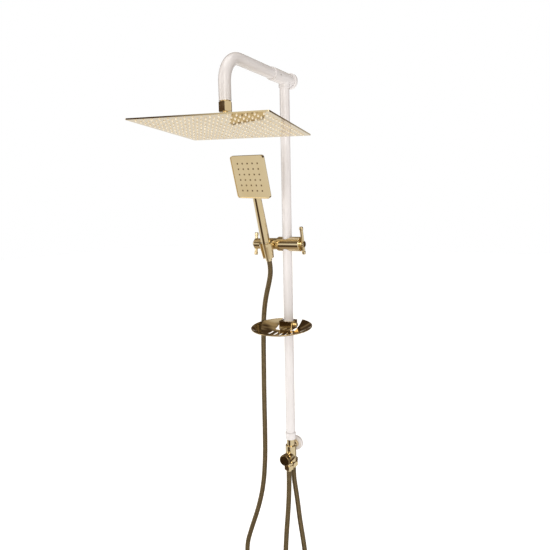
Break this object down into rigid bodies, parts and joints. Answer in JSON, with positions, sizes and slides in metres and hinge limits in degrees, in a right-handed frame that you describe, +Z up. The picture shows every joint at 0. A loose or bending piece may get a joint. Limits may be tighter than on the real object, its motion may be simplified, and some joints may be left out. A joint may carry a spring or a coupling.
{
  "type": "rainfall shower column",
  "caption": "Wall-mounted shower column: white riser and bent arm, square rain head on a ball joint, hand shower in a sliding cradle, round soap dish, diverter and gold hoses.",
  "frame": {"origin": "centre of the upper wall bracket's back face, on the wall, at the middle of its screw hole", "axes": "+Z up along the riser, +Y into the wall, +X to the right seen from the front"},
  "size_m": [0.354, 0.4773, 1.6951],
  "materials": {
    "white_enamel": "gloss",
    "gold": "polished gold",
    "hose": "polished gold spiral",
    "steel": "satin",
    "brass": "machined",
    "rubber": "matte",
    "plastic": "satin"
  },
  "bodies": {
    "column": {"top_wall_post": "steel", "top_wall_disc": "white_enamel", "low_wall_post": "steel", "low_wall_disc": "white_enamel", "tee_body": "white_enamel", "arm_grub_screw": "steel", "riser_pipe": "white_enamel", "riser_seal": "rubber", "arm_pipe": "white_enamel", "arm_seal": "rubber", "arm_nipple": "brass", "ball_nut": "gold", "inlet_filter": "steel", "riser_nipple": "gold", "riser_collar": "white_enamel", "diverter_body": "gold", "diverter_cartridge": "plastic", "bonnet_ring": "gold", "outlet_nuts": "gold", "outlet_ferrules": "gold", "handset_hose": "hose", "supply_hose": "hose", "supply_ferrule": "gold", "supply_end_nut": "gold", "supply_end_washer": "rubber"},
    "ball_seat": {"ball_seat": "plastic"},
    "ball_grip": {"ball_grip": "plastic"},
    "rain_head": {"head_collar": "gold", "head_boss": "gold", "head_top_plate": "gold", "head_face_plate": "gold", "head_nozzles": "rubber"},
    "slider": {"slider_bush": "plastic"},
    "holder": {"holder_body": "gold", "clamp_pad": "plastic", "tilt_bolt": "brass"},
    "clamp_lever": {"clamp_knob": "gold", "clamp_bar": "gold"},
    "cradle": {"cradle": "gold", "friction_washer": "plastic"},
    "tilt_lever": {"tilt_sleeve": "gold", "tilt_bar": "gold"},
    "hose_nut": {"cone_nut": "gold", "cone_washer": "rubber", "cone_ferrule": "gold"},
    "handset": {"handset_handle": "gold", "handset_shell": "gold", "handset_face": "gold", "handset_nozzles": "rubber"},
    "dish_slider": {"dish_bush": "plastic"},
    "dish": {"dish_clamp": "gold", "dish_screw": "gold", "dish_bracket": "gold", "soap_dish": "gold"},
    "diverter_knob": {"diverter_dial": "gold", "valve_stem": "brass"}
  },
  "joints": [
    {"name": "head_tilt_front", "type": "hinge", "parent": "column", "child": "ball_seat", "pos_m": [0, -0.3, -0.136], "axis": [0.9786, 0.2042, -0.0244], "range_deg": [-10, 10]},
    {"name": "head_tilt_side", "type": "hinge", "parent": "ball_seat", "child": "ball_grip", "pos_m": [0, -0.3, -0.136], "axis": [-0.2045, 0.9788, -0.0105], "range_deg": [-10, 10]},
    {"name": "head_spin", "type": "hinge", "parent": "ball_grip", "child": "rain_head", "pos_m": [0, -0.3, -0.136], "axis": [0.0218, 0.0152, 0.9996], "continuous": true},
    {"name": "holder_slide", "type": "slide", "parent": "column", "child": "slider", "axis": [0, 0, 1], "range_m": [-0.04, 0.03], "deforming": ["handset_hose"]},
    {"name": "holder_swivel", "type": "hinge", "parent": "slider", "child": "holder", "pos_m": [0, -0.036, -0.421], "axis": [0, 0, 1], "range_deg": [-10, 20], "deforming": ["handset_hose"]},
    {"name": "clamp_turn", "type": "hinge", "parent": "holder", "child": "clamp_lever", "pos_m": [0, -0.036, -0.421], "axis": [1, 0, 0], "range_deg": [-45, 45]},
    {"name": "cradle_tilt", "type": "hinge", "parent": "holder", "child": "cradle", "pos_m": [0, -0.036, -0.421], "axis": [1, 0, 0], "range_deg": [-18, 15], "deforming": ["handset_hose"]},
    {"name": "tilt_lock_turn", "type": "hinge", "parent": "holder", "child": "tilt_lever", "pos_m": [0, -0.036, -0.421], "axis": [1, 0, 0], "range_deg": [-45, 45]},
    {"name": "handset_lift", "type": "slide", "parent": "cradle", "child": "hose_nut", "axis": [0, -0.309, 0.9511], "range_m": [0, 0.03], "deforming": ["handset_hose"]},
    {"name": "handset_spin", "type": "hinge", "parent": "hose_nut", "child": "handset", "pos_m": [-0.0451, -0.0696, -0.421], "axis": [0, -0.309, 0.9511], "range_deg": [-45, 45]},
    {"name": "dish_slide", "type": "slide", "parent": "column", "child": "dish_slider", "axis": [0, 0, 1], "range_m": [-0.25, 0.03]},
    {"name": "dish_swivel", "type": "hinge", "parent": "dish_slider", "child": "dish", "pos_m": [0, -0.036, -0.634], "axis": [0, 0, 1], "range_deg": [-10, 10]},
    {"name": "diverter_turn", "type": "hinge", "parent": "column", "child": "diverter_knob", "pos_m": [0, -0.036, -1.009], "axis": [0, -1, 0], "range_deg": [-90, 0]}
  ]
}
